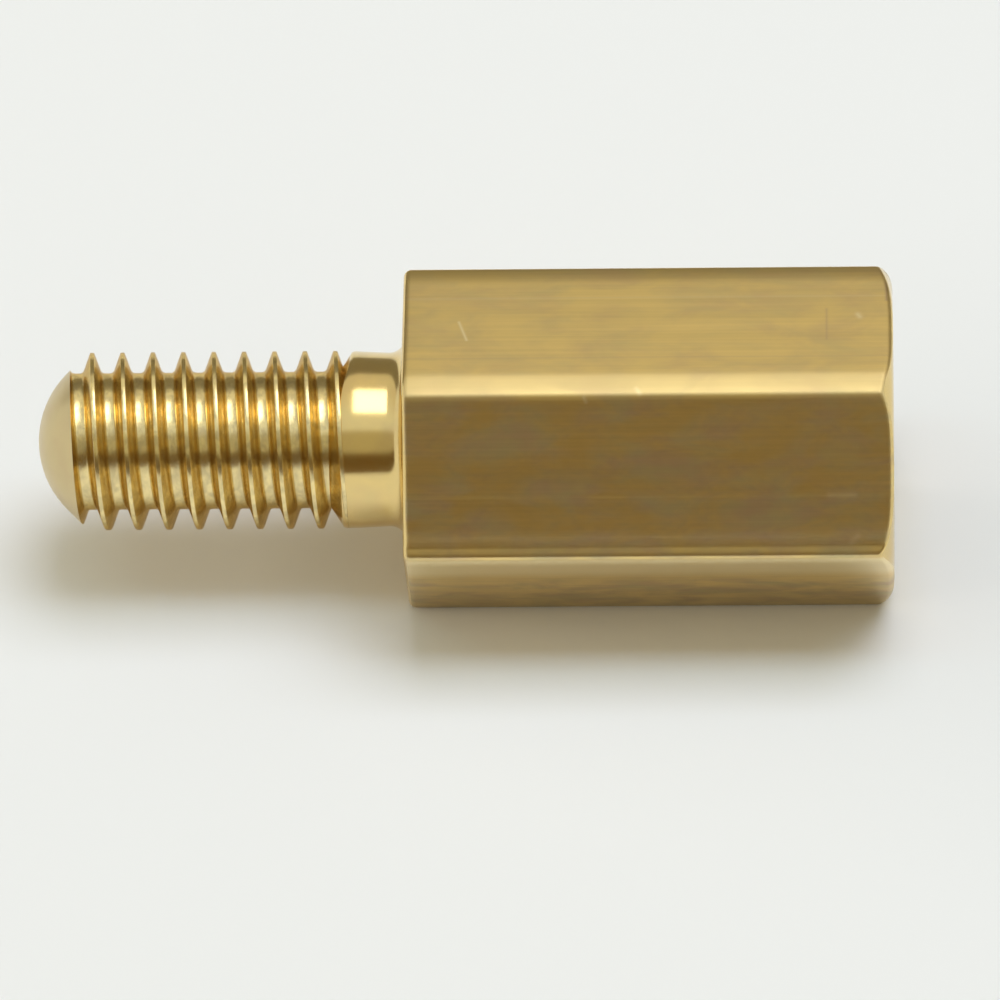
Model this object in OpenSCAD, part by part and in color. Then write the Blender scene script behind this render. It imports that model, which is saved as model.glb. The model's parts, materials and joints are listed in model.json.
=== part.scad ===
// Male-female hex standoff, turned in one piece from hexagonal brass bar.
//
// It lies on one flat of the bar, with its axis along X: the threaded stud
// points towards -X and the tapped hole opens towards +X. The origin is on
// the surface that it lies on, under the middle of its whole length.
// Millimetres, +Z up. The helical threads are finer than this model: the
// stud is held at its outside diameter and the hole at its tapping size.

/* [Hexagonal body] */
// Width of the bar across its flats
across_flats = 5; // [4:0.05:8]
// Length of the hexagonal body, from the shoulder to the tapped end
body_length = 8; // [5:0.5:30]
// Radius along the bar's six long edges
long_edge_r = 0.28; // [0.1:0.02:0.5]
// Radius that breaks the edges of the shoulder
shoulder_edge_r = 0.1; // [0.02:0.01:0.2]

/* [Tapped end] */
// Radius that breaks the flats' edges at the tapped end
tapped_edge_r = 0.12; // [0.02:0.01:0.2]
// How far inside the flats the end face starts to curve away
face_margin = 0.14; // [0.02:0.02:0.4]
// How far along the corners the turned curve reaches
corner_depth = 0.24; // [0.1:0.02:0.4]

/* [Threaded stud] */
// Length of the stud, from the shoulder to its tip
stud_length = 6; // [4:0.5:12]
// Outside diameter of the stud's thread
thread_d = 2.92; // [2.4:0.02:3.6]
// Radius of the rounded nose at the stud's tip
nose_r = 0.84; // [0.3:0.02:1.2]
// Angle between the tip's cone and a plane across the stud
tip_angle = 33.6; // [20:0.2:45]

/* [Neck] */
// Length of the plain neck between the thread and the shoulder
neck_length = 0.92; // [0.4:0.01:1.5]
// How much less than the thread's diameter the neck measures
neck_relief = 0.04; // [0:0.02:0.6]
// How much the neck's diameter narrows on its way to the shoulder
neck_taper = 0.08; // [0:0.02:0.4]
// Radius of the fillet between the neck and the shoulder
neck_fillet_r = 0.2; // [0.04:0.01:0.3]

/* [Tapped hole] */
// Tapping diameter of the hole
tap_drill_d = 2.5; // [1.6:0.05:3]
// Length of bar left solid between the hole's full bore and the shoulder
solid_length = 2; // [1.2:0.1:3]
// Angle of the drill's point
drill_point_angle = 118; // [90:1:140]
// How much wider than the tapping diameter the countersink's mouth is
countersink_margin = 0.7; // [0.2:0.05:0.8]
// Angle of the countersink
countersink_angle = 90; // [60:5:120]

/* [Hidden] */

// Smoothness of every round surface
$fn = 96;
// How far a cut or a joined piece runs past the surface that it meets
run_past = 1;
brass = [0.72, 0.58, 0.32];

// The bar: half its width, how far out the centres of its corner rounds lie,
// which is also the length of each flat between two rounds, and its reach
flat_r = across_flats / 2;
round_place = (flat_r - long_edge_r) / cos(30);
corner_r = round_place + long_edge_r;

// The turned curve at the tapped end: an arc that leaves the end face level
// and comes down by corner_depth at the bar's corners
face_r = flat_r - face_margin;
curve_span = corner_r - face_r;
curve_r = (curve_span * curve_span + corner_depth * corner_depth) / (2 * corner_depth);

// The stud's tip: a round nose that runs smoothly into a cone
thread_r = thread_d / 2;
nose_edge_r = nose_r * sin(tip_angle);
nose_height = nose_r * (1 - cos(tip_angle));
tip_height = nose_height + (thread_r - nose_edge_r) * tan(tip_angle);

neck_r = (thread_d - neck_relief) / 2;
neck_seat_r = neck_r - neck_taper / 2;

tap_drill_r = tap_drill_d / 2;
drill_point_height = tap_drill_r / tan(drill_point_angle / 2);
countersink_r = tap_drill_r + countersink_margin / 2;
countersink_depth = (countersink_r - tap_drill_r) / tan(countersink_angle / 2);

// Section of the drawn bar, with flats facing +X and -X: a hexagon through
// the centres of the corner rounds, a strip across each pair of flats, and
// the rounds
module bar_section() {
    rotate(30) circle(round_place, $fn = 6);
    for (pair = [0 : 2]) {
        rotate(60 * pair) square([across_flats, round_place], center = true);
    }
    for (corner = [0 : 5]) {
        rotate(60 * corner + 30) translate([round_place, 0]) circle(long_edge_r);
    }
}

// View of the body square to its axis, between one pair of flats, standing on
// the shoulder, with the flats' end edges rounded
module flat_pair_view() {
    shoulder_half = flat_r - shoulder_edge_r;
    tapped_half = flat_r - tapped_edge_r;
    round_height = body_length - tapped_edge_r;
    translate([-flat_r, shoulder_edge_r]) square([across_flats, round_height - shoulder_edge_r]);
    translate([-shoulder_half, 0]) square([2 * shoulder_half, body_length / 2]);
    translate([-tapped_half, body_length / 2]) square([2 * tapped_half, body_length / 2]);
    for (side = [-1, 1]) {
        translate([side * shoulder_half, shoulder_edge_r]) circle(shoulder_edge_r);
        translate([side * tapped_half, round_height]) circle(tapped_edge_r);
    }
}

// Half view of the blank that the tapped end is turned to
module turned_view() {
    turned_r = face_r + curve_r;
    intersection() {
        union() {
            translate([0, -run_past]) square([turned_r, body_length + run_past - curve_r]);
            translate([0, -run_past]) square([face_r, body_length + run_past]);
            translate([face_r, body_length - curve_r]) circle(curve_r);
        }
        translate([0, -run_past]) square([turned_r, body_length + run_past]);
    }
}

// The hexagonal body, standing on its shoulder
module hexagonal_body() {
    intersection() {
        linear_extrude(body_length) bar_section();
        intersection_for (pair = [0 : 2]) {
            rotate([90, 0, 60 * pair])
                linear_extrude(4 * across_flats, center = true) flat_pair_view();
        }
        rotate_extrude() turned_view();
    }
}

// Half view of the stud's round nose, its cone and its threaded length
module threaded_view() {
    cone_foot = nose_height - stud_length;
    cone_head = tip_height - stud_length;
    intersection() {
        translate([0, nose_r - stud_length]) circle(nose_r);
        translate([0, -stud_length]) square([nose_r, 1.5 * nose_height]);
    }
    polygon([
        [0, cone_foot],
        [nose_edge_r, cone_foot],
        [thread_r, cone_head],
        [thread_r, -neck_length],
        [0, -neck_length]
    ]);
}

// Half view of the neck, its fillet and its root inside the body
module neck_view() {
    fillet_end = neck_seat_r + neck_fillet_r;
    polygon([
        [0, -neck_length],
        [neck_r, -neck_length],
        [neck_seat_r, -neck_fillet_r],
        [neck_seat_r, run_past],
        [0, run_past]
    ]);
    difference() {
        translate([0, -neck_fillet_r]) square([fillet_end, neck_fillet_r]);
        translate([fillet_end, -neck_fillet_r]) circle(neck_fillet_r);
    }
}

// The stud, hanging below the shoulder
module stud() {
    rotate_extrude() {
        threaded_view();
        neck_view();
    }
}

// What drilling and countersinking take out of the tapped end
module tapped_hole() {
    mouth = body_length + run_past;
    rotate_extrude() polygon([
        [0, mouth],
        [countersink_r, mouth],
        [countersink_r, body_length],
        [tap_drill_r, body_length - countersink_depth],
        [tap_drill_r, solid_length],
        [0, solid_length - drill_point_height]
    ]);
}

// The whole standoff, laid on one flat along X
module standoff() {
    color(brass)
        translate([(stud_length - body_length) / 2, 0, flat_r])
        rotate([0, 90, 0])
        difference() {
            union() {
                hexagonal_body();
                stud();
            }
            tapped_hole();
        }
}

standoff();
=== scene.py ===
"""Hexagonal standoff in drawn and turned brass: tapped at one end, with a threaded stud at the other."""

import json
import math

import bmesh
import bpy
from bpy.props import FloatProperty, FloatVectorProperty, PointerProperty
from mathutils import Matrix, Vector


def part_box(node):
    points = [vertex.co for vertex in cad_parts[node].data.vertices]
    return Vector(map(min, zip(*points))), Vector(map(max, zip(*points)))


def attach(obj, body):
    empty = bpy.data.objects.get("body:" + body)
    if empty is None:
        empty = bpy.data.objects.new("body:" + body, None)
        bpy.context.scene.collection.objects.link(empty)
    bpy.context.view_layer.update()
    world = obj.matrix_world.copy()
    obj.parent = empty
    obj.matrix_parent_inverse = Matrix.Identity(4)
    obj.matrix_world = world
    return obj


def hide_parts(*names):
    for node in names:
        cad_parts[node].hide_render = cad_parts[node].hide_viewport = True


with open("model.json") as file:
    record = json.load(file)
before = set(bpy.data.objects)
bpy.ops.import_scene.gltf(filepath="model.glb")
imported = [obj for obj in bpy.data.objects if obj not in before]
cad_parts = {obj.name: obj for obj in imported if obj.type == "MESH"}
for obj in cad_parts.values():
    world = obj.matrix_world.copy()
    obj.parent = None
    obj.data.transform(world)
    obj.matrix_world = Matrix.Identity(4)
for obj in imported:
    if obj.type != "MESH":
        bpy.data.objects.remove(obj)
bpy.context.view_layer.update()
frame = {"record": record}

bl_info = {
    "name": "Brass Hexagonal Standoff",
    "version": (1, 0, 0),
    "blender": (4, 5, 0),
    "location": "3D View > Sidebar > Standoff",
    "description": "Makes a drawn, turned and tapped hexagonal standoff and the table that it lies on",
    "category": "Add Mesh",
}

LOWEST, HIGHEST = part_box("standoff")
MOUNTS = {mount["name"]: mount for mount in frame["record"]["mounts"]}
STUD_RADIUS = MOUNTS["stud"]["dims"]["r_mm"] / 1000
HOLE_RADIUS = MOUNTS["tapped_hole"]["dims"]["r_mm"] / 1000
SHOULDER_X = MOUNTS["shoulder"]["pos_m"][0]
PER_MM = 0.001
DRAWN, TURNED, THREADED, FACED = range(4)

# Straight sides in a full turn of each round shape
TAP_SIDES, LEAD_SIDES, THREAD_SIDES, NOSE_SIDES = 128, 96, 144, 192
# Closest that two corners of the mesh may lie, in millimetres
WELD = 0.0005
# Edges that turn by more than this are shaded as sharp
SHARP_ANGLE = math.radians(27)

# Flats are numbered from the upper one at the back, over the top and round the front.
# Lines that the drawing die left on a flat: how far each is from the flat's middle, the widths of its two
# slopes and its height, all in millimetres. A groove has a height below 0.
DIE_LINES = {2: ((0.41, 0.06, 0.09, 0.0025), (1.215, 0.3, 0.12, -0.014))}
# How a flat eases into the long edge before it and the one after it: radius in millimetres, degrees turned
EASINGS = {
    1: ((3.0, 7.5), (0.9, 24.0)),
    2: ((0.8, 6.0), (1.2, 1.0)),
    3: ((1.8, 9.0), (1.6, 5.0)),
}
EASING = ((1.6, 4.0), (1.6, 4.0))
# Marks on the flats: from, to, half width, colour and strength. Places are in millimetres, with the origin on
# the axis.
MARKS = (
    ((-1.0, 0.7, 2.5), (7.0, 0.7, 2.5), 0.06, "scratch_and_highlight", 0.16),
    ((-1.0, -0.72, 2.5), (7.0, -0.72, 2.5), 0.05, "brown", 0.25),
    ((-0.07, 0.14, 2.5), (0.06, -0.285, 2.5), 0.05, "scratch_and_highlight", 0.8),
    # the next two are painted glints: bright spots where dings on the upper front edge catch the light
    ((1.98, -1.52, 2.36), (2.01, -1.56, 2.3), 0.06, "scratch_and_highlight", 0.8),
    ((2.83, -1.4, 2.46), (2.88, -1.48, 2.4), 0.08, "scratch_and_highlight", 0.6),
    ((6.43, 0.26, 2.5), (6.46, 0.2, 2.5), 0.1, "scratch_and_highlight", 0.7),
    ((5.92, 0.39, 2.5), (5.92, -0.32, 2.5), 0.05, "brown", 0.5),
    ((6.9, 1.0, 2.5), (6.9, 0.6, 2.5), 0.06, "brown", 0.9),
    ((5.95, -2.35, 0.93), (6.35, -2.35, 0.93), 0.12, "scratch_and_highlight", 0.35),
    ((6.3, -2.76, 0.25), (6.4, -2.7, 0.33), 0.1, "scratch_and_highlight", 0.35),
)

# Lamps: degrees that the middle stands above the front horizon and leans towards the tapped end, degrees high
# and wide, brightness in red, green and blue, and whether the brass mirrors it
LAMPS = (
    ("softbox", 96, 13, 34, 38, (2.3, 2.3, 2.3), True),
    ("softbox_spill", 97, 12, 34, 38, (1.44, 1.69, 2.44), False),
    ("overhead_fill", 86, 0, 12, 80, (0.76, 1.28, 1.5), False),
    ("left_fill", 90, -75, 60, 16, (5.7, 5.15, 4.7), False),
)
LAMP_DISTANCE = 0.25
# Brightness of the light from all round on dull surfaces
AMBIENT = (0.43, 0.383, 0.257)
# The tent's cloth: degrees above the front horizon, and the colour there
DARK, OLIVE, TAN = (0.148, 0.093, 0.03), (0.47, 0.43, 0.29), (0.77, 0.79, 0.76)
GOLD, BACK = (0.72, 0.68, 0.55), (0.23, 0.205, 0.145)
TENT_BANDS = (
    (0, DARK), (23, DARK), (29, OLIVE), (53, OLIVE), (58, TAN), (79, TAN),
    (113, GOLD), (138, GOLD), (142, BACK), (180, BACK),
)
TENT_RADIUS, TENT_LENGTH, TABLE_RADIUS = 0.35, 1.0, 0.45


# Sizes and colours


def length_property(name, description, default):
    return FloatProperty(
        name=name, description=description, default=default, min=0.0,
        precision=5, subtype="DISTANCE", unit="LENGTH",
    )


def angle_property(name, description, degrees):
    return FloatProperty(
        name=name, description=description, default=math.radians(degrees),
        subtype="ANGLE", unit="ROTATION",
    )


def share_property(name, description, default):
    return FloatProperty(
        name=name, description=description, default=default, min=0.0, max=1.0, subtype="FACTOR"
    )


def colour_property(name, description, default):
    return FloatVectorProperty(
        name=name, description=description, default=default, min=0.0, max=1.0, size=3, subtype="COLOR"
    )


class StandoffBodySizes(bpy.types.PropertyGroup):
    across_flats: length_property(
        "Across flats", "Width of the drawn bar between two opposite flats", HIGHEST.z - LOWEST.z
    )
    long_edge_radii: FloatVectorProperty(
        name="Long edge radii", size=6, precision=5, unit="LENGTH",
        description="Rounding of each long edge, from the one at the back over the top and round the front",
        default=(0.00028, 0.0001, 0.00015, 0.00009, 0.00012, 0.00028),
    )
    crown_radius: length_property("Crown radius", "Radius of the slight crown across each flat", 0.15)
    shoulder_edge_radius: length_property("Shoulder edge", "Rounding of the edge round the shoulder", 0.00013)
    tapped_edge_radius: length_property("Tapped edge", "Rounding between flats and turned corners", 0.00012)
    face_margin: length_property("Face margin", "From the flats in to the flat tapped face", 0.00014)
    corner_depth: length_property("Corner depth", "How far back the tapped end's corners are turned", 0.00024)


class StandoffStudSizes(bpy.types.PropertyGroup):
    thread_diameter: length_property("Thread diameter", "Outside diameter of the thread", 2 * STUD_RADIUS)
    pitch: length_property("Pitch", "Distance from one crest to the next", 0.0005)
    crest_width: length_property("Crest width", "Width of the flat crests", 0.000066)
    crest_round: length_property("Crest rounding", "Rounding of the crests' edges", 0.000014)
    root_flat: length_property("Root width", "Width of the flat bottom of the grooves", 0.00009)
    root_round: length_property("Root rounding", "Rounding beside the bottom of the grooves", 0.00007)
    flank_angle: angle_property("Flank angle", "Between each flank and a plane square to the axis", 20)
    start_angle: angle_property("Start angle", "Turn of the thread about the stud's axis", 20)
    nose_radius: length_property("Nose radius", "Radius of the rounded tip", 0.00157)
    tip_angle: angle_property("Tip angle", "Slope where the rounded tip runs into the threads", 45)
    nose_reach: length_property("Nose reach", "How far the nose swells past the nominal length", 0.000045)
    neck_length: length_property("Neck length", "Plain length beside the shoulder", 0.00088)
    neck_relief: length_property("Neck relief", "How much thinner than the thread the neck is", 0.00001)
    neck_taper: length_property("Neck taper", "How much thinner the neck gets towards the shoulder", 0.00006)
    neck_fillet: length_property("Neck fillet", "Radius between the neck and the shoulder", 0.00027)
    runout_angle: angle_property("Runout angle", "Slope of the neck where it closes the last groove", 58)
    runout_length: length_property("Runout length", "How much longer the neck is round the front", 0.00015)


class StandoffHoleSizes(bpy.types.PropertyGroup):
    drill_diameter: length_property("Drill diameter", "Diameter of the untapped hole", 2 * HOLE_RADIUS)
    drill_depth: length_property("Drill depth", "Depth of the full diameter from the tapped face", 0.006)
    point_angle: angle_property("Point angle", "Whole angle of the drill's point", 118)
    thread_diameter: length_property("Thread diameter", "Largest diameter of the tapped thread", 0.003)
    thread_depth: length_property("Thread depth", "Depth of the tapped thread from the face", 0.0054)
    pitch: length_property("Pitch", "Distance from one groove to the next", 0.0005)
    countersink_diameter: length_property("Countersink diameter", "Diameter of the hole's mouth", 0.0032)
    countersink_angle: angle_property("Countersink angle", "Whole angle of the countersink", 90)


class StandoffBrass(bpy.types.PropertyGroup):
    brass: colour_property("Brass", "Colour of clean brass", (0.86, 0.645, 0.265))
    brown: colour_property("Brown stain", "Colour of handled, browned brass", (0.60, 0.43, 0.26))
    olive: colour_property("Olive stain", "Colour of greenish, dulled brass", (0.60, 0.50, 0.27))
    threaded: colour_property("Threaded brass", "Colour of the brass in the threads", (0.95, 0.78, 0.385))
    faced: colour_property("Faced brass", "Colour of the dull nose and tapped face", (0.66, 0.53, 0.285))
    # bare brass in scratches, also used for painted glints on the upper front edge and a painted highlight
    # under the middle edges
    scratch_and_highlight: colour_property("Scratch", "Colour of bare brass in scratches and at edges", (1.0, 0.86, 0.55))
    soiled: colour_property("Soiled", "Colour of the soiled brass beside the crests", (0.66, 0.53, 0.29))
    worn: colour_property("Worn", "Colour of the dull brass along the upper front edge", (0.79, 0.65, 0.34))
    drawn_roughness: share_property("Drawn roughness", "Roughness of the drawn flats", 0.28)
    turned_roughness: share_property("Turned roughness", "Roughness of the turned surfaces", 0.18)
    threaded_roughness: share_property("Threaded roughness", "Roughness of the threads", 0.21)
    faced_roughness: share_property("Faced roughness", "Roughness of the nose and the tapped face", 0.34)


class StandoffStudio(bpy.types.PropertyGroup):
    azimuth: angle_property("Azimuth", "Turn of the camera towards the tapped end", 2.2)
    elevation: angle_property("Elevation", "Height of the camera above the table", 44.1)
    roll: angle_property("Roll", "Tilt of the camera about its own line of sight", 1.95)
    distance: length_property("Distance", "From the camera to the standoff", 0.2)
    frame_width: length_property("Frame width", "Width of the view at the standoff", 0.01643)
    floor: colour_property("Table", "Colour of the table", (0.825, 0.83, 0.825))
    background: colour_property("Background", "Colour beyond the table", (0.82, 0.84, 0.81))


# Mesh work, in millimetres


def in_mm(sizes):
    """The lengths of a property group in millimetres, and its angles and shares as they are."""
    values = {}
    for name, prop in sizes.bl_rna.properties.items():
        if prop.type == "FLOAT":
            scale = 1 / PER_MM if prop.unit == "LENGTH" else 1.0
            value = getattr(sizes, name)
            values[name] = [part * scale for part in value] if prop.is_array else value * scale
    return values


def arc(start, end, steps):
    """Angles in degrees from start to end, both included."""
    return [math.radians(start + (end - start) * i / steps) for i in range(steps + 1)]


def bar_section(size):
    """Corners of the bar's section as (angle, radius), from the middle of one flat right round.

    From the middle of each flat to that of the next, the skin is a chain of arcs: the crown, an easing, the
    rounding of the long edge, another easing and the crown. Die lines stand up from a flat or are sunk in it.
    """
    apothem, crown = size["across_flats"] / 2, size["crown_radius"]
    whole = math.radians(60)

    def place(turn, arcs):
        """A point across and out from the middle of the flat, where the surface has turned by an angle."""
        across, out, last = 0.0, apothem, 0.0
        for radius, end in arcs:
            reach = min(turn, end)
            if reach > last:
                across += radius * (math.sin(reach) - math.sin(last))
                out += radius * (math.cos(reach) - math.cos(last))
                last = reach
        return across, out

    def chain(first, second, before, edge, after):
        """The arcs' radii and the turns where they end. The crowns turn by first and second."""
        return (
            (crown, first), (before[0], first + before[1]), (edge, whole - second - after[1]),
            (after[0], whole - second), (crown, whole),
        )

    def fitted(before, edge, after):
        """The chain of arcs that ends at the middle of the next flat, found by Newton's method."""
        first = second = math.radians(0.4)
        step = 1e-6

        def miss(first, second):
            across, out = place(whole, chain(first, second, before, edge, after))
            return across - apothem * math.sin(whole), out - apothem * math.cos(whole)

        for _ in range(12):
            now = across, out = miss(first, second)
            by_first = [(moved - still) / step for moved, still in zip(miss(first + step, second), now)]
            by_second = [(moved - still) / step for moved, still in zip(miss(first, second + step), now)]
            scale = by_first[0] * by_second[1] - by_second[0] * by_first[1]
            first -= (by_second[1] * across - by_second[0] * out) / scale
            second -= (by_first[0] * out - by_first[1] * across) / scale
        return chain(first, second, before, edge, after)

    def turn_at(wanted, arcs):
        """How far the surface has turned at a place across the flat."""
        low, high = 0.0, whole
        for _ in range(40):
            turn = (low + high) / 2
            low, high = (turn, high) if place(turn, arcs)[0] < wanted else (low, turn)
        return turn

    def raised(across, out, lines):
        for middle, rise, fall, height in lines:
            away = (across - middle) / (rise if across < middle else fall)
            out += height * (0.5 + 0.5 * math.cos(math.pi * min(abs(away), 1.0)))
        return out

    corners = []
    for flat in range(6):
        following = (flat + 1) % 6
        before, after = [(radius, math.radians(turned)) for radius, turned in (
            EASINGS.get(flat, EASING)[1], EASINGS.get(following, EASING)[0]
        )]
        arcs = fitted(before, size["long_edge_radii"][following], after)
        turns, last = [], 0.0
        for (_, end), steps in zip(arcs, (9, 7, 12, 7, 9)):
            turns += [last + (end - last) * i / steps for i in range(steps)]
            last = end
        lines = DIE_LINES.get(flat, ())
        for middle, rise, fall, _ in lines:
            for share in (-1.0, -0.65, -0.35, 0.0, 0.35, 0.65):
                turns.append(turn_at(middle + share * (rise if share < 0 else fall), arcs))
        for turn in sorted(turns):
            across, out = place(turn, arcs)
            out = raised(across, out, lines)
            angle = math.radians(30 + 60 * flat) + math.atan2(across, out)
            corners.append((angle, math.hypot(across, out)))
    return corners


def skin(bm, count, rings):
    """Closes a skin through rings of corners round the X axis. The end rings are drawn in to a point.

    Each ring is a function that gives corner k's x, y and z, and the material of the band that ends there.
    """
    mark = bm.verts.layers.int.new("corner")
    start = bmesh.ops.create_circle(bm, segments=count, radius=1.0)["verts"]
    for vert in start:
        turn = math.atan2(vert.co.y, vert.co.x) % math.tau
        vert[mark] = round(turn / math.tau * count) % count
    for vert in start:
        vert.co = rings[0][0](vert[mark])
    edges = list(bm.edges)
    ends = [start]
    for place, material in rings[1:]:
        made = bmesh.ops.extrude_edge_only(bm, edges=edges)["geom"]
        verts = [g for g in made if isinstance(g, bmesh.types.BMVert)]
        fresh = set(verts)
        edges = [
            g for g in made
            if isinstance(g, bmesh.types.BMEdge) and g.verts[0] in fresh and g.verts[1] in fresh
        ]
        for vert in verts:
            vert.co = place(vert[mark])
        for face in made:
            if isinstance(face, bmesh.types.BMFace):
                face.material_index = material
        ends.append(verts)
    for verts in (ends[0], ends[-1]):
        middle = sum((v.co for v in verts), Vector()) / len(verts)
        bmesh.ops.pointmerge(bm, verts=verts, merge_co=(middle.x, 0.0, 0.0))
    bmesh.ops.recalc_face_normals(bm, faces=bm.faces)


def helical_rod(bm, profile, pitch, turns, steps, start_x, material):
    """A rod along X with a right-hand helical groove: equal profiles in a row, spun once and moved by a pitch.

    The profile is (along, radius), and begins and ends at the same radius. Both ends run out as plain plugs.
    """
    plug = profile[0][1]
    row = [(start_x + pitch * k + along, radius) for k in range(turns) for along, radius in profile[:-1]]
    row.append((start_x + pitch * turns, plug))
    verts = [bm.verts.new((x, radius, 0.0)) for x, radius in row]
    edges = [bm.edges.new(pair) for pair in zip(verts, verts[1:])]
    bmesh.ops.spin(
        bm, geom=verts + edges, cent=(0, 0, 0), axis=(1, 0, 0), dvec=(pitch / steps, 0, 0),
        angle=math.tau, steps=steps, use_merge=False, use_duplicate=False,
    )
    bmesh.ops.remove_doubles(bm, verts=bm.verts, dist=WELD)
    middle = start_x + pitch * (turns + 1) / 2
    rim = [e for e in bm.edges if e.is_boundary]
    for at_start in (True, False):
        part = [e for e in rim if (e.verts[0].co.x < middle) == at_start]
        made = bmesh.ops.extrude_edge_only(bm, edges=part)["geom"]
        outer = [g for g in made if isinstance(g, bmesh.types.BMVert)]
        end_x = start_x - pitch if at_start else start_x + pitch * (turns + 2)
        for vert in outer:
            radius = math.hypot(vert.co.y, vert.co.z)
            vert.co = (end_x, vert.co.y * plug / radius, vert.co.z * plug / radius)
        bmesh.ops.remove_doubles(bm, verts=outer, dist=WELD)
        edge = [e for e in bm.edges if e.is_boundary and abs(e.verts[0].co.x - end_x) < 1e-6]
        bmesh.ops.contextual_create(bm, geom=edge)
    bmesh.ops.recalc_face_normals(bm, faces=bm.faces)
    for face in bm.faces:
        face.material_index = material


def turned(bm, outline, steps, material):
    """A solid of revolution about X, from an outline of (x, radius) that starts and ends on the axis."""
    verts = [bm.verts.new((x, radius, 0.0)) for x, radius in outline]
    edges = [bm.edges.new(pair) for pair in zip(verts, verts[1:])]
    bmesh.ops.spin(
        bm, geom=verts + edges, cent=(0, 0, 0), axis=(1, 0, 0), angle=math.tau, steps=steps,
        use_merge=True, use_duplicate=False,
    )
    bmesh.ops.remove_doubles(bm, verts=bm.verts, dist=WELD)
    bmesh.ops.recalc_face_normals(bm, faces=bm.faces)
    for face in bm.faces:
        face.material_index = material


def solid(name, make, materials, *arguments):
    """A scene object whose mesh make() builds."""
    bm = bmesh.new()
    make(bm, *arguments)
    mesh = bpy.data.meshes.new(name)
    bm.to_mesh(mesh)
    bm.free()
    for material in materials:
        mesh.materials.append(material)
    shape = bpy.data.objects.new(name, mesh)
    bpy.context.scene.collection.objects.link(shape)
    return shape


def combine(shape, tool, operation):
    """Cuts shape with tool, joins them, or keeps what they share. The tool is used up."""
    change = shape.modifiers.new(operation.title(), "BOOLEAN")
    change.operation, change.solver, change.object = operation, "MANIFOLD", tool
    bpy.context.view_layer.update()
    graph = bpy.context.evaluated_depsgraph_get()
    result = bpy.data.meshes.new_from_object(shape.evaluated_get(graph))
    shape.modifiers.clear()
    shape.data = result
    bpy.data.objects.remove(tool)
    if not result.polygons:
        raise RuntimeError(f"{operation} on {shape.name} left nothing")


def filled(turn):
    """1 round the front, where the last groove has run out, and 0 over the top, where it is still deep."""
    top, starts, ends = 46, 20, 330
    away = math.degrees(turn) % 360 - top
    share = (away - starts) / 50 if away < 180 else (ends - away) / 90
    share = min(max(share, 0.0), 1.0)
    return share * share * (3 - 2 * share)


def round_ring(section, x, radius, runout=0.0):
    """A ring round the axis. Where the last groove has run out, it lies further towards the tip by runout."""
    def place(k):
        turn = section[k][0]
        return x - runout * filled(turn), radius * math.cos(turn), radius * math.sin(turn)
    return place


def bar_ring(section, place_at):
    """A ring that follows the bar's section. place_at turns a corner's reach into its x and radius."""
    def place(k):
        turn, reach = section[k]
        x, radius = place_at(reach)
        return x, radius * math.cos(turn), radius * math.sin(turn)
    return place


def hole_rings(section, hole):
    """The drilled hole and its countersink, from the drill's point out to the rounded mouth."""
    tapped_x = HIGHEST.x / PER_MM
    drill, mouth = hole["drill_diameter"] / 2, hole["countersink_diameter"] / 2
    slope = math.tan(hole["countersink_angle"] / 2)
    bottom_x = tapped_x - hole["drill_depth"]
    point_x = bottom_x - drill / math.tan(hole["point_angle"] / 2)
    bore_x = tapped_x - (mouth - drill) / slope
    profile = [(point_x, 0.0), (point_x + (bottom_x - point_x) * 0.5, drill * 0.5), (bottom_x, drill)]
    profile += [(bottom_x + (bore_x - bottom_x) * share, drill) for share in (0.33, 0.66, 1.0)]
    rim = 0.03
    profile.append((tapped_x - rim, mouth - rim * slope))
    steepest = math.radians(45)
    for turn in arc(45, 0, 3)[1:]:
        inward = rim * 0.4 * (1 - math.cos(turn))
        profile.append((tapped_x - inward, mouth + rim * 0.6 * (1 - math.sin(turn) / math.sin(steepest))))
    return [(round_ring(section, x, radius), TURNED) for x, radius in profile]


def tapped_end_rings(section, body):
    """The flat face, the turned corners, and the rounding between them and the flats."""
    tapped_x = HIGHEST.x / PER_MM
    flat_radius = body["across_flats"] / 2 - body["face_margin"]
    corner_span = max(radius for _, radius in section) - flat_radius
    curve = (corner_span**2 + body["corner_depth"] ** 2) / (2 * body["corner_depth"])
    overlap, face_band = 0.05, 0.35

    def depth_at(radius):
        return curve - math.sqrt(curve**2 - max(radius - flat_radius, 0.0) ** 2)

    def rounding(reach):
        """The turned curve's slope at a corner, and how far along the curve the rounding starts."""
        slope = math.asin((reach - flat_radius) / curve)
        return slope, body["tapped_edge_radius"] * math.tan((math.pi / 2 - slope) / 2)

    def turned_corner(share):
        def place_at(reach):
            slope, start = rounding(reach)
            far = min(reach - start * math.cos(slope), reach)
            radius = flat_radius - overlap + (far - flat_radius + overlap) * share
            return tapped_x - depth_at(radius), radius
        return place_at

    def rounded_edge(share):
        def place_at(reach):
            slope, start = rounding(reach)
            swing = (math.pi / 2 - slope) * (1 - share)
            x = tapped_x - depth_at(reach) - start + body["tapped_edge_radius"] * math.sin(swing)
            return min(x, tapped_x), reach - body["tapped_edge_radius"] * (1 - math.cos(swing))
        return place_at

    rings = [(round_ring(section, tapped_x, flat_radius - face_band), FACED)]
    for share in (0.0, 0.25, 0.5, 0.75, 1.0):
        rings.append((bar_ring(section, turned_corner(share)), TURNED if share else FACED))
    for i in range(1, 7):
        rings.append((bar_ring(section, rounded_edge(i / 6)), DRAWN))
    return rings


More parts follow.
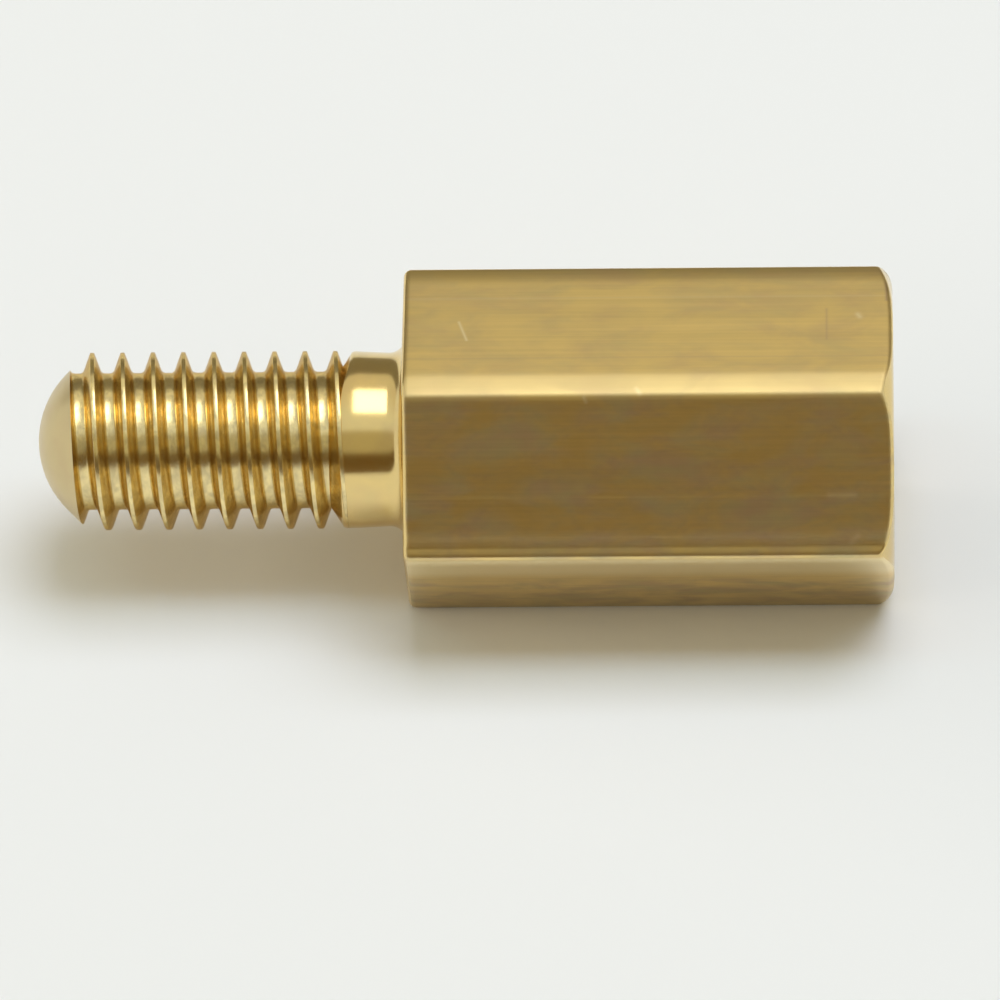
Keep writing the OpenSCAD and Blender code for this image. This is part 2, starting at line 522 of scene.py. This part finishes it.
def flat_rings(section, body):
    """The flats, and the rounding at the shoulder."""
    tapped_x, shoulder_x = HIGHEST.x / PER_MM, SHOULDER_X / PER_MM
    small = body["shoulder_edge_radius"]

    def across_bar(x):
        return lambda reach: (x, reach)

    def shoulder_edge(turn):
        return lambda reach: (shoulder_x + small * (1 - math.cos(turn)), reach - small * (1 - math.sin(turn)))

    rings = []
    for share in (0.06, 0.2, 0.4, 0.6, 0.8, 0.94):
        rings.append((bar_ring(section, across_bar(tapped_x - (tapped_x - shoulder_x) * share)), DRAWN))
    for turn in arc(90, 0, 5):
        rings.append((bar_ring(section, shoulder_edge(turn)), DRAWN if turn > math.pi / 4 else TURNED))
    return rings


def neck_rings(section, stud):
    """The shoulder, the neck's fillet, the neck, and the slope that closes the last groove."""
    shoulder_x = SHOULDER_X / PER_MM
    neck_start = stud["thread_diameter"] / 2 - stud["neck_relief"] / 2
    neck_end = neck_start - stud["neck_taper"] / 2
    fillet, slope, runout = stud["neck_fillet"], stud["runout_angle"], stud["runout_length"]
    neck_x = shoulder_x - stud["neck_length"]
    rings = [(round_ring(section, shoulder_x, neck_end + fillet + 0.25), TURNED)]
    for turn in arc(0, 90, 8):
        x, radius = shoulder_x - fillet * (1 - math.cos(turn)), neck_end + fillet * (1 - math.sin(turn))
        rings.append((round_ring(section, x, radius), TURNED))
    for share in (0.1, 0.5, 0.75):
        x = shoulder_x - fillet + (neck_x - shoulder_x + fillet) * share
        rings.append((round_ring(section, x, neck_end + (neck_start - neck_end) * share), TURNED))
    rim, inner = 0.05, 0.9
    broken = neck_start - rim * 0.35
    closing = (
        (neck_x + rim, neck_start, TURNED),
        (neck_x, broken, TURNED),
        (neck_x - rim * math.cos(slope), broken - rim * math.sin(slope), TURNED),
        (neck_x - (neck_start - inner) / math.tan(slope), inner, THREADED),
    )
    rings += [(round_ring(section, x, radius, runout), material) for x, radius, material in closing]
    # inside the stud, where the threaded rod joins on
    rings += [(round_ring(section, neck_x + x, radius), THREADED) for x, radius in ((0.1, 0.5), (0.3, 0.0))]
    return rings


def body_rings(body, stud, hole):
    """Rings of the drilled hole and the outside, from the drill's point round to inside the stud."""
    section = bar_section(body)
    rings = hole_rings(section, hole) + tapped_end_rings(section, body)
    rings += flat_rings(section, body) + neck_rings(section, stud)
    return len(section), rings


def thread_profile(crest_radius, crest_width, pitch, flank, crest_round, root_flat, root_round):
    """One pitch of an outside thread, from the middle of a root to that of the next, as (along, radius)."""
    steep = math.pi / 2 - flank
    # where the root and the flank would meet without their rounding
    meeting = root_flat / 2 + root_round * math.tan(steep / 2)
    root = crest_radius - (pitch / 2 - crest_width / 2 - meeting) / math.tan(flank)
    half = [(0.0, root)] if root_flat else []
    for i in range(4):
        swing = steep * i / 3
        half.append((root_flat / 2 + root_round * math.sin(swing), root + root_round * (1 - math.cos(swing))))
    tangent = crest_round * math.tan(steep / 2)
    edge = pitch / 2 - crest_width / 2
    for i in range(3):
        swing = steep * (1 - i / 2)
        along = edge + tangent - crest_round * math.sin(swing)
        half.append((along, crest_radius - crest_round * (1 - math.cos(swing))))
    return half + [(pitch - along, radius) for along, radius in reversed(half)]


def tapping_tool(hole, materials):
    """What the tap takes out of the hole: a threaded rod with a tapered lead at its inner end."""
    face_x = HIGHEST.x / PER_MM
    drill, major = hole["drill_diameter"] / 2, hole["thread_diameter"] / 2
    inner_x = face_x - hole["thread_depth"]
    ridge = thread_profile(major, hole["pitch"] / 8, hole["pitch"], math.radians(30), 0.01, 0.0, 0.04)
    turns = math.ceil((hole["thread_depth"] + 0.6) / hole["pitch"])
    start_x = inner_x - 0.2
    tap = solid("tap", helical_rod, materials, ridge, hole["pitch"], turns, TAP_SIDES, start_x, THREADED)
    lead, clear = 0.75, 0.05
    outline = [
        (inner_x - 0.45, 0.0), (inner_x - 0.4, drill - 0.06), (inner_x, drill - clear),
        (inner_x + lead, major + clear), (face_x + 0.15, major + clear), (face_x + 0.2, 0.0),
    ]
    combine(tap, solid("tap_lead", turned, materials, outline, LEAD_SIDES, THREADED), "INTERSECT")
    return tap


def threaded_stud(stud, materials):
    """The threaded rod inside the outline of its rounded tip, with an end that joins on inside the neck."""
    radius, pitch = stud["thread_diameter"] / 2, stud["pitch"]
    profile = thread_profile(
        radius, stud["crest_width"], pitch, stud["flank_angle"],
        stud["crest_round"], stud["root_flat"], stud["root_round"],
    )
    nominal_x, neck_x = LOWEST.x / PER_MM, SHOULDER_X / PER_MM - stud["neck_length"]
    tip_x = nominal_x - stud["nose_reach"]
    turns = math.ceil((neck_x - tip_x) / pitch) + 2
    start_x = nominal_x - pitch + pitch * (stud["start_angle"] / math.tau - 1)
    rod = solid("thread", helical_rod, materials, profile, pitch, turns, THREAD_SIDES, start_x, THREADED)
    nose, slope = stud["nose_radius"], stud["tip_angle"]
    wide = radius + 0.12
    outline = [(tip_x, 0.0)]
    for i in range(1, 11):
        swing = slope * i / 10
        outline.append((tip_x + nose * (1 - math.cos(swing)), nose * math.sin(swing)))
    cone_x, cone_radius = outline[-1]
    outline += [
        (cone_x + (wide - cone_radius) * math.tan(slope), wide),
        (neck_x - 0.16, wide),
        (neck_x - 0.02, radius - 0.06),
        (neck_x + 0.15, radius - 0.2),
        (neck_x + 0.3, 0.6),
        (neck_x + 0.3, 0.0),
    ]
    combine(rod, solid("stud_outline", turned, materials, outline, NOSE_SIDES, FACED), "INTERSECT")
    return rod


def finish_mesh(mesh, axis_z):
    """Welds the mesh, raises it to its place on the table, in metres, and marks its sharp edges."""
    bm = bmesh.new()
    bm.from_mesh(mesh)
    bmesh.ops.remove_doubles(bm, verts=bm.verts, dist=0.0002)
    bmesh.ops.dissolve_degenerate(bm, dist=0.0001, edges=bm.edges)
    bmesh.ops.translate(bm, vec=(0, 0, axis_z), verts=bm.verts)
    bmesh.ops.scale(bm, vec=(PER_MM,) * 3, verts=bm.verts)
    for face in bm.faces:
        face.smooth = True
    for edge in bm.edges:
        edge.smooth = not (edge.is_manifold and edge.calc_face_angle(0) > SHARP_ANGLE)
    bm.to_mesh(mesh)
    bm.free()


def make_standoff(body, stud, hole, materials):
    shape = solid("standoff_turned", lambda bm: skin(bm, *body_rings(body, stud, hole)), materials)
    combine(shape, tapping_tool(hole, materials), "DIFFERENCE")
    combine(shape, threaded_stud(stud, materials), "UNION")
    finish_mesh(shape.data, body["across_flats"] / 2)
    return shape


# Node groups and materials


class Nodes:
    """Adds nodes to a tree, from left to right, and wires their sockets."""

    def __init__(self, tree):
        self.tree = tree

    def add(self, kind, wires=None, **settings):
        node = self.tree.nodes.new(kind)
        node.location = (180 * len(self.tree.nodes), -40 * (len(self.tree.nodes) % 6))
        for name, value in settings.items():
            setattr(node, name, value)
        for socket, source in (wires or {}).items():
            if isinstance(source, bpy.types.NodeSocket):
                self.tree.links.new(source, node.inputs[socket])
            else:
                node.inputs[socket].default_value = source
        return node

    def maths(self, operation, *values, clamp=False):
        node = self.add("ShaderNodeMath", dict(enumerate(values)), operation=operation, use_clamp=clamp)
        return node.outputs[0]

    def vector(self, operation, *values):
        """A vector sum. Its first output is a vector and its second a number."""
        return self.add("ShaderNodeVectorMath", dict(enumerate(values)), operation=operation).outputs

    def scaled(self, vector, factor):
        return self.add("ShaderNodeVectorMath", {0: vector, 3: factor}, operation="SCALE").outputs[0]

    def ramp(self, value, *stops, smooth=False):
        """Maps a value to a level through (position, level) stops."""
        node = self.add("ShaderNodeValToRGB", {0: value})
        node.color_ramp.interpolation = "EASE" if smooth else "LINEAR"
        points = node.color_ramp.elements
        while len(points) < len(stops):
            points.new(0.5)
        for point, (position, level) in zip(points, stops):
            point.position = position
            point.color = (*level, 1.0) if isinstance(level, tuple) else (level, level, level, 1.0)
        return node.outputs[0]

    def blend(self, share, first, second, kind="MIX"):
        node = self.add("ShaderNodeMix", {0: share}, data_type="RGBA", blend_type=kind)
        for index, source in ((6, first), (7, second)):
            if isinstance(source, bpy.types.NodeSocket):
                self.tree.links.new(source, node.inputs[index])
            else:
                node.inputs[index].default_value = (*source, 1.0)
        return node.outputs[2]

    def group(self, tree, wires):
        node = self.add("ShaderNodeGroup", None, node_tree=tree)
        for socket, source in wires.items():
            if isinstance(source, bpy.types.NodeSocket):
                self.tree.links.new(source, node.inputs[socket])
            elif isinstance(source, (tuple, list)) and node.inputs[socket].type == "RGBA":
                node.inputs[socket].default_value = (*source, 1.0)
            else:
                node.inputs[socket].default_value = source
        return node.outputs


def new_group(name, inputs, outputs):
    """An empty shader group with named sockets: its Nodes, its inputs, and a function that sets an output."""
    tree = bpy.data.node_groups.new(name, "ShaderNodeTree")
    kinds = {"V": "NodeSocketVector", "F": "NodeSocketFloat", "C": "NodeSocketColor"}
    for label, kind, value in inputs:
        socket = tree.interface.new_socket(name=label, in_out="INPUT", socket_type=kinds[kind])
        if value is not None:
            socket.default_value = (*value, 1.0) if kind == "C" else value
    for label, kind in outputs:
        tree.interface.new_socket(name=label, in_out="OUTPUT", socket_type=kinds[kind])
    nodes = Nodes(tree)
    entry = nodes.add("NodeGroupInput")
    leave = nodes.add("NodeGroupOutput")

    def give(label, socket):
        tree.links.new(socket, leave.inputs[label])

    return nodes, entry.outputs, give


def tool_lines_group():
    """Fine lines that a die or a tool leaves: long along the vector's X, close together across it."""
    nodes, entry, give = new_group(
        "Tool Lines",
        [("Vector", "V", None), ("Lines per mm", "F", 12.0), ("Length", "F", 40.0), ("Depth", "F", 1.0)],
        [("Lines", "F"), ("Height", "F")],
    )
    stretch = nodes.maths("DIVIDE", entry["Lines per mm"], entry["Length"])
    often = entry["Lines per mm"]
    scale = nodes.add("ShaderNodeCombineXYZ", {0: stretch, 1: often, 2: often}).outputs[0]
    vector = nodes.vector("MULTIPLY", entry["Vector"], scale)[0]
    noise = nodes.add(
        "ShaderNodeTexNoise", {"Vector": vector, "Scale": 1.0, "Detail": 3.0, "Roughness": 0.65}
    )
    give("Lines", nodes.ramp(noise.outputs[0], (0.3, 0.0), (0.7, 1.0)))
    give("Height", nodes.maths("MULTIPLY", noise.outputs[0], entry["Depth"]))
    return nodes.tree


def tarnish_group():
    """Soft patches of browned and greenish brass over clean brass."""
    nodes, entry, give = new_group(
        "Tarnish",
        [
            ("Vector", "V", None), ("Patch size", "F", 1.0), ("Stretch", "F", 2.5), ("Amount", "F", 0.5),
            ("Clean", "C", (0.8, 0.6, 0.3)), ("Brown", "C", (0.6, 0.4, 0.2)), ("Olive", "C", (0.6, 0.5, 0.2)),
        ],
        [("Color", "C"), ("Mask", "F")],
    )
    squeeze = nodes.maths("DIVIDE", 1.0, entry["Stretch"])
    scale = nodes.add("ShaderNodeCombineXYZ", {0: squeeze, 1: 1.0, 2: 1.0}).outputs[0]
    vector = nodes.vector("MULTIPLY", entry["Vector"], scale)[0]
    frequency = nodes.maths("DIVIDE", 1.0, entry["Patch size"])
    broad = nodes.add(
        "ShaderNodeTexNoise",
        {"Vector": vector, "Scale": frequency, "Detail": 3.0, "Roughness": 0.55, "Distortion": 0.3},
    )
    elsewhere = nodes.vector("ADD", vector, (7.3, 2.9, 5.1))[0]
    finer = nodes.maths("MULTIPLY", frequency, 1.7)
    tint = nodes.add(
        "ShaderNodeTexNoise", {"Vector": elsewhere, "Scale": finer, "Detail": 3.0, "Roughness": 0.5}
    )
    greener = nodes.ramp(tint.outputs[0], (0.3, 0.0), (0.7, 1.0), smooth=True)
    stain = nodes.blend(greener, entry["Brown"], entry["Olive"])
    patches = nodes.ramp(broad.outputs[0], (0.3, 0.0), (0.7, 1.0), smooth=True)
    mask = nodes.maths("MULTIPLY", patches, entry["Amount"], clamp=True)
    give("Color", nodes.blend(mask, entry["Clean"], stain))
    give("Mask", mask)
    return nodes.tree


def mark_group():
    """A straight mark from one point to another: 1 on its line, fading to 0 at its width."""
    nodes, entry, give = new_group(
        "Straight Mark",
        [("Vector", "V", None), ("From", "V", (0, 0, 0)), ("To", "V", (1, 0, 0)), ("Width", "F", 0.05)],
        [("Mask", "F")],
    )
    run = nodes.vector("SUBTRACT", entry["To"], entry["From"])[0]
    away = nodes.vector("SUBTRACT", entry["Vector"], entry["From"])[0]
    along = nodes.vector("DOT_PRODUCT", away, run)[1]
    whole = nodes.vector("DOT_PRODUCT", run, run)[1]
    share = nodes.maths("DIVIDE", along, whole, clamp=True)
    gap = nodes.vector("DISTANCE", away, nodes.scaled(run, share))[1]
    fade = nodes.maths("SUBTRACT", 1.0, nodes.maths("DIVIDE", gap, entry["Width"]), clamp=True)
    give("Mask", nodes.maths("MULTIPLY", fade, fade))
    return nodes.tree


def in_millimetres(nodes):
    """The surface's own coordinates in millimetres, and its distance from the standoff's axis."""
    coords = nodes.add("ShaderNodeTexCoord")
    axis_z = (HIGHEST.z - LOWEST.z) / 2 / PER_MM
    centred = nodes.add(
        "ShaderNodeMapping",
        {"Vector": coords.outputs["Object"], "Location": (0.0, 0.0, -axis_z), "Scale": (1 / PER_MM,) * 3},
    ).outputs[0]
    parts = nodes.add("ShaderNodeSeparateXYZ", {0: centred}).outputs
    flat = nodes.add("ShaderNodeCombineXYZ", {1: parts[1], 2: parts[2]}).outputs[0]
    return centred, parts, nodes.vector("LENGTH", flat)[1]


def new_material(name):
    material = bpy.data.materials.new(name)
    material.use_nodes = True
    material.node_tree.nodes.clear()
    return material, Nodes(material.node_tree)


def drawn_material(finish, groups):
    """The flats and long edges: satin brass with draw lines, handling stains, worn edges and a few marks, two
    of them painted glints; with painted shade near the table and a painted highlight under the middle edges.
    """
    material, nodes = new_material("drawn_brass")
    vector, parts, _ = in_millimetres(nodes)
    fine, broad = [
        nodes.group(
            groups["lines"], {"Vector": vector, "Lines per mm": often, "Length": length, "Depth": depth}
        )
        for often, length, depth in ((16.0, 90.0, 1.0), (3.5, 40.0, 2.0))
    ]
    # handled all round but less on top, and less stained in a band under the middle edges that is part of a
    # painted highlight; height is 0 at the table, 0.5 at the middle edges and 1 on top
    sideways = nodes.maths("ABSOLUTE", parts[1])
    handled = nodes.ramp(nodes.maths("DIVIDE", sideways, 3.0), (0.45, 0.45), (0.56, 0.95))
    height = nodes.maths("MULTIPLY_ADD", parts[2], 0.2, 0.5)
    stain_cut_for_painted_highlight = nodes.ramp(height, (0.0, 1.0), (0.26, 1.0), (0.36, 0.1), (0.49, 0.1), (0.505, 1.0))
    stain_with_highlight_cut = nodes.maths("MULTIPLY", handled, stain_cut_for_painted_highlight)
    tarnish = nodes.group(
        groups["tarnish"],
        {"Vector": vector, "Patch size": 0.55, "Stretch": 2.0, "Amount": stain_with_highlight_cut,
         "Clean": tuple(finish.brass), "Brown": tuple(finish.brown), "Olive": tuple(finish.olive)},
    )
    streaks = nodes.maths("MULTIPLY", nodes.maths("ADD", fine["Lines"], broad["Lines"]), 0.08)
    # darker towards the table: painted shade where the bar meets the table
    painted_shade_near_table = nodes.ramp(height, (0.0, 0.68), (0.25, 1.0))
    shade = nodes.maths("MULTIPLY", nodes.maths("ADD", 0.91, streaks), painted_shade_near_table)
    colour = nodes.scaled(tarnish["Color"], shade)
    rough = nodes.maths("ADD", finish.drawn_roughness, nodes.maths("MULTIPLY", tarnish["Mask"], 0.07))
    # worn dull along the upper front edge; under the middle edges, a painted highlight in bare brass colour
    outward = nodes.vector("DOT_PRODUCT", vector, (0.0, -0.0863, 0.322))[1]
    worn = nodes.ramp(outward, (0.893, 0.0), (0.915, 1.0))
    rough = nodes.maths("ADD", rough, nodes.maths("MULTIPLY", worn, 0.5))
    colour = nodes.blend(worn, colour, tuple(finish.worn))
    pale = nodes.ramp(height, (0.32, 0.0), (0.38, 0.65), (0.485, 0.65), (0.5, 0.0))
    colour = nodes.blend(pale, colour, tuple(finish.scratch_and_highlight))
    for start, end, width, tone, strength in MARKS:
        mark = nodes.group(groups["mark"], {"Vector": vector, "From": start, "To": end, "Width": width})
        share = nodes.maths("MULTIPLY", mark["Mask"], strength)
        colour = nodes.blend(share, colour, tuple(getattr(finish, tone)))
    relief = nodes.maths("ADD", fine["Height"], broad["Height"])
    bump = nodes.add("ShaderNodeBump", {"Strength": 1.0, "Distance": 2.5e-7, "Height": relief})
    shader = nodes.add(
        "ShaderNodeBsdfPrincipled",
        {"Base Color": colour, "Metallic": 1.0, "Roughness": rough, "Normal": bump.outputs[0]},
    )
    nodes.add("ShaderNodeOutputMaterial", {0: shader.outputs[0]})
    return material


def turned_material(name, colour, finish, groups, roughness, lines_per_mm, depth, patch, stain):
    """Turned surfaces, with the rings that the tool leaves round the axis."""
    material, nodes = new_material(name)
    vector, parts, radius = in_millimetres(nodes)
    rings = nodes.add("ShaderNodeCombineXYZ", {1: parts[0], 2: radius}).outputs[0]
    lines = nodes.group(
        groups["lines"], {"Vector": rings, "Lines per mm": lines_per_mm, "Length": 1.0, "Depth": 1.0}
    )
    tarnish = nodes.group(
        groups["tarnish"],
        {"Vector": vector, "Patch size": patch, "Stretch": 1.0, "Amount": stain,
         "Clean": tuple(colour), "Brown": tuple(finish.brown), "Olive": tuple(finish.olive)},
    )
    rough = nodes.maths("ADD", roughness - 0.03, nodes.maths("MULTIPLY", tarnish["Mask"], 0.12))
    bump = nodes.add("ShaderNodeBump", {"Strength": 1.0, "Distance": depth, "Height": lines["Height"]})
    shader = nodes.add(
        "ShaderNodeBsdfPrincipled",
        {"Base Color": tarnish["Color"], "Metallic": 1.0, "Roughness": rough, "Normal": bump.outputs[0]},
    )
    nodes.add("ShaderNodeOutputMaterial", {0: shader.outputs[0]})
    return material


def threaded_material(finish, groups):
    """The threads: torn and soiled in the grooves, rubbed bright along the crests."""
    material, nodes = new_material("threaded_brass")
    vector, _, radius = in_millimetres(nodes)
    along = nodes.vector("MULTIPLY", vector, (3.0, 1.0, 1.0))[0]
    rings = nodes.group(groups["lines"], {"Vector": along, "Lines per mm": 5.0, "Length": 1.0, "Depth": 1.0})
    tarnish = nodes.group(
        groups["tarnish"],
        {"Vector": vector, "Patch size": 0.2, "Stretch": 0.7, "Amount": 0.85,
         "Clean": tuple(finish.threaded), "Brown": tuple(finish.soiled), "Olive": tuple(finish.olive)},
    )
    major = nodes.maths("DIVIDE", radius, STUD_RADIUS / PER_MM)
    depth = nodes.ramp(major, (0.76, 0.15), (0.86, 0.4), (0.96, 0.65), (0.985, 0.0))
    soil = nodes.maths("MULTIPLY", depth, nodes.maths("MULTIPLY_ADD", tarnish["Mask"], 0.5, 0.5))
    colour = nodes.blend(soil, tarnish["Color"], tuple(finish.soiled))
    rough = nodes.maths("ADD", finish.threaded_roughness, nodes.maths("MULTIPLY", tarnish["Mask"], 0.06))
    bump = nodes.add("ShaderNodeBump", {"Strength": 1.0, "Distance": 1.8e-6, "Height": rings["Height"]})
    shader = nodes.add(
        "ShaderNodeBsdfPrincipled",
        {"Base Color": colour, "Metallic": 1.0, "Roughness": rough, "Specular Tint": (0.75, 0.6, 0.4, 1.0),
         "Normal": bump.outputs[0]},
    )
    nodes.add("ShaderNodeOutputMaterial", {0: shader.outputs[0]})
    return material


# Stage


def make_table(studio):
    """A round white table under the standoff."""
    material, nodes = new_material("white_table")
    shader = nodes.add("ShaderNodeBsdfDiffuse", {"Color": (*studio.floor, 1.0)})
    nodes.add("ShaderNodeOutputMaterial", {0: shader.outputs[0]})

    def make(bm):
        bmesh.ops.create_circle(bm, cap_ends=True, segments=96, radius=TABLE_RADIUS)

    table = solid("table", make, [material])


def make_tent():
    """A cloth arch over the table that brass mirrors in bands; the camera doesn't see it."""
    material, nodes = new_material("tent_cloth")
    coords = nodes.add("ShaderNodeTexCoord")
    parts = nodes.add("ShaderNodeSeparateXYZ", {0: coords.outputs["Object"]}).outputs
    turn = nodes.maths("ARCTAN2", parts[2], nodes.maths("MULTIPLY", parts[1], -1.0))
    share = nodes.maths("DIVIDE", turn, math.pi)
    colour = nodes.ramp(share, *[(angle / 180, level) for angle, level in TENT_BANDS])
    shader = nodes.add("ShaderNodeEmission", {"Color": colour, "Strength": 1.0})
    nodes.add("ShaderNodeOutputMaterial", {0: shader.outputs[0]})

    def make(bm):
        verts = [bm.verts.new((x, -TENT_RADIUS, 0.0)) for x in (-TENT_LENGTH / 2, TENT_LENGTH / 2)]
        edge = bm.edges.new(verts)
        bmesh.ops.spin(
            bm, geom=verts + [edge], cent=(0, 0, 0), axis=(-1, 0, 0), angle=math.pi, steps=90,
            use_merge=False, use_duplicate=False,
        )

    tent = solid("light_tent", make, [material])
    tent.visible_camera = False
    tent.visible_diffuse = False


def make_lamps():
    """A soft box overhead that the brass mirrors, and broad soft lights that only reach dull surfaces."""
    for name, elevation, tilt, height, width, radiance, mirrored in LAMPS:
        turn, lean = math.radians(elevation), math.radians(tilt)
        way = Vector((math.sin(lean), -math.cos(turn) * math.cos(lean), math.sin(turn) * math.cos(lean)))
        lamp = bpy.data.lights.new(name, "AREA")
        lamp.shape = "RECTANGLE"
        lamp.size = 2 * LAMP_DISTANCE * math.tan(math.radians(width / 2))
        lamp.size_y = 2 * LAMP_DISTANCE * math.tan(math.radians(height / 2))
        lamp.energy = max(radiance) * math.pi * lamp.size * lamp.size_y
        lamp.color = [part / max(radiance) for part in radiance]
        box = bpy.data.objects.new(name, lamp)
        box.location = way * LAMP_DISTANCE
        across = Vector((math.cos(lean), math.cos(turn) * math.sin(lean), -math.sin(turn) * math.sin(lean)))
        box.rotation_mode = "QUATERNION"
        box.rotation_quaternion = Matrix((across, way.cross(across), way)).transposed().to_quaternion()
        box.visible_camera = False
        box.visible_glossy = mirrored
        bpy.context.scene.collection.objects.link(box)


def make_world(studio):
    """Even light from all round, behind a pale background that the camera and the brass see."""
    world = bpy.data.worlds.new("studio")
    world.use_nodes = True
    world.node_tree.nodes.clear()
    nodes = Nodes(world.node_tree)
    path = nodes.add("ShaderNodeLightPath").outputs
    seen = nodes.maths("ADD", path["Is Camera Ray"], path["Is Glossy Ray"])
    seen = nodes.maths("ADD", seen, path["Is Transmission Ray"], clamp=True)
    light = nodes.add("ShaderNodeBackground", {"Color": (*AMBIENT, 1.0), "Strength": 1.0})
    pale = nodes.add("ShaderNodeBackground", {"Color": (*studio.background, 1.0), "Strength": 1.0})
    mixed = nodes.add("ShaderNodeMixShader", {0: seen, 1: light.outputs[0], 2: pale.outputs[0]})
    nodes.add("ShaderNodeOutputWorld", {0: mixed.outputs[0]})
    bpy.context.scene.world = world


def make_camera(studio):
    """A long lens, looking down at the front of the standoff."""
    azimuth, elevation = studio.azimuth, studio.elevation
    back = Vector((
        math.sin(azimuth) * math.cos(elevation), -math.cos(azimuth) * math.cos(elevation), math.sin(elevation)
    ))
    turned_to = (-back).to_track_quat("-Z", "Y")
    up = turned_to @ Vector((0.0, 1.0, 0.0))
    sideways, drop = 0.000506, 0.00101
    centre = Vector((sideways, 0.0, (LOWEST.z + HIGHEST.z) / 2)) - up * drop
    data = bpy.data.cameras.new("camera")
    data.sensor_width = 36.0
    data.lens = data.sensor_width * studio.distance / studio.frame_width
    data.clip_start, data.clip_end = 0.01, 2.0
    camera = bpy.data.objects.new("camera", data)
    camera.location = centre + back * studio.distance
    camera.rotation_mode = "QUATERNION"
    roll = Matrix.Rotation(-studio.roll, 3, back).to_quaternion()
    camera.rotation_quaternion = roll @ turned_to
    bpy.context.scene.collection.objects.link(camera)
    bpy.context.scene.camera = camera


# Operators and panel


class STANDOFF_OT_make_piece(bpy.types.Operator):
    """Makes the standoff: drawn bar, turned ends, drilled and tapped hole, and threaded stud"""

    bl_idname = "standoff.make_piece"
    bl_label = "Make Standoff"

    def execute(self, context):
        scene = context.scene
        finish = scene.standoff_brass
        groups = {"lines": tool_lines_group(), "tarnish": tarnish_group(), "mark": mark_group()}
        materials = [
            drawn_material(finish, groups),
            turned_material(
                "turned_brass", finish.brass, finish, groups, finish.turned_roughness,
                lines_per_mm=30.0, depth=2.0e-7, patch=0.6, stain=0.3,
            ),
            threaded_material(finish, groups),
            turned_material(
                "faced_brass", finish.faced, finish, groups, finish.faced_roughness,
                lines_per_mm=24.0, depth=5.0e-7, patch=0.5, stain=0.3,
            ),
        ]
        sizes = [in_mm(group) for group in (scene.standoff_body, scene.standoff_stud, scene.standoff_hole)]
        piece = make_standoff(*sizes, materials)
        smooth = piece.modifiers.new("Even Shading", "WEIGHTED_NORMAL")
        smooth.keep_sharp = True
        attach(piece, "root")
        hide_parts("standoff")
        return {"FINISHED"}


class STANDOFF_OT_make_stage(bpy.types.Operator):
    """Makes the table, the light tent, the lamps, the background and the camera"""

    bl_idname = "standoff.make_stage"
    bl_label = "Make Stage"

    def execute(self, context):
        studio = context.scene.standoff_studio
        make_table(studio)
        make_tent()
        make_lamps()
        make_world(studio)
        make_camera(studio)
        context.scene.view_settings.view_transform = "Standard"
        return {"FINISHED"}


class STANDOFF_PT_panel(bpy.types.Panel):
    """Sizes and finish of the standoff, and the buttons that make it and its stage"""

    bl_idname = "STANDOFF_PT_panel"
    bl_label = "Hexagonal Standoff"
    bl_space_type = "VIEW_3D"
    bl_region_type = "UI"
    bl_category = "Standoff"

    def draw(self, context):
        scene = context.scene
        for group in (scene.standoff_body, scene.standoff_stud, scene.standoff_hole, scene.standoff_brass):
            box = self.layout.box()
            for name in group.__annotations__:
                box.prop(group, name)
        self.layout.operator(STANDOFF_OT_make_piece.bl_idname)
        box = self.layout.box()
        for name in scene.standoff_studio.__annotations__:
            box.prop(scene.standoff_studio, name)
        self.layout.operator(STANDOFF_OT_make_stage.bl_idname)


CLASSES = (
    StandoffBodySizes, StandoffStudSizes, StandoffHoleSizes, StandoffBrass, StandoffStudio,
    STANDOFF_OT_make_piece, STANDOFF_OT_make_stage, STANDOFF_PT_panel,
)
SETTINGS = {
    "standoff_body": StandoffBodySizes,
    "standoff_stud": StandoffStudSizes,
    "standoff_hole": StandoffHoleSizes,
    "standoff_brass": StandoffBrass,
    "standoff_studio": StandoffStudio,
}


def register():
    for cls in CLASSES:
        bpy.utils.register_class(cls)
    for name, kind in SETTINGS.items():
        setattr(bpy.types.Scene, name, PointerProperty(type=kind))


def unregister():
    for name in SETTINGS:
        delattr(bpy.types.Scene, name)
    for cls in reversed(CLASSES):
        bpy.utils.unregister_class(cls)


def main():
    register()
    bpy.ops.standoff.make_piece()
    bpy.ops.standoff.make_stage()


if __name__ == "__main__":
    main()
